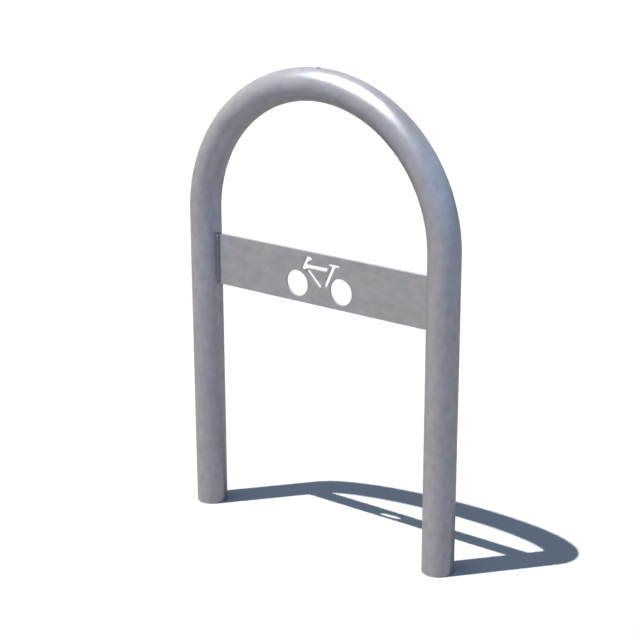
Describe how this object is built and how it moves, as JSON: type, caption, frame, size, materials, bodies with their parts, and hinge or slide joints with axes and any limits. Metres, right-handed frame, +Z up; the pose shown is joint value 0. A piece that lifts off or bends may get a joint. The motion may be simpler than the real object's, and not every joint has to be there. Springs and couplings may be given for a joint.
{
  "type": "hoop bike rack",
  "caption": "Hoop bike rack for casting into the ground: a steel tube bent into an inverted U, with a flat plate between its legs that a bicycle sign is cut through.",
  "frame": {"origin": "on the ground line, midway between the two legs; the buried roots are below it", "axes": "+X along the hoop, from the left leg to the right one seen from the front; +Y across the hoop, towards its rear; +Z up"},
  "size_m": [0.6, 0.18, 1.2],
  "materials": {
    "galvanised_tube": "hot-dip galvanised, weathered satin",
    "galvanised_plate": "hot-dip galvanised, weathered satin",
    "galvanised_weld": "hot-dip galvanised weld bead",
    "galvanised_rod": "hot-dip galvanised round bar"
  },
  "bodies": {
    "root": {"hoop_tube": "galvanised_tube", "cross_plate": "galvanised_plate", "plate_weld_left_front": "galvanised_weld", "plate_weld_left_rear": "galvanised_weld", "plate_weld_right_front": "galvanised_weld", "plate_weld_right_rear": "galvanised_weld", "anchor_rod_left": "galvanised_rod", "anchor_rod_right": "galvanised_rod", "rod_weld_left_front": "galvanised_weld", "rod_weld_left_rear": "galvanised_weld", "rod_weld_right_front": "galvanised_weld", "rod_weld_right_rear": "galvanised_weld"}
  },
  "joints": []
}
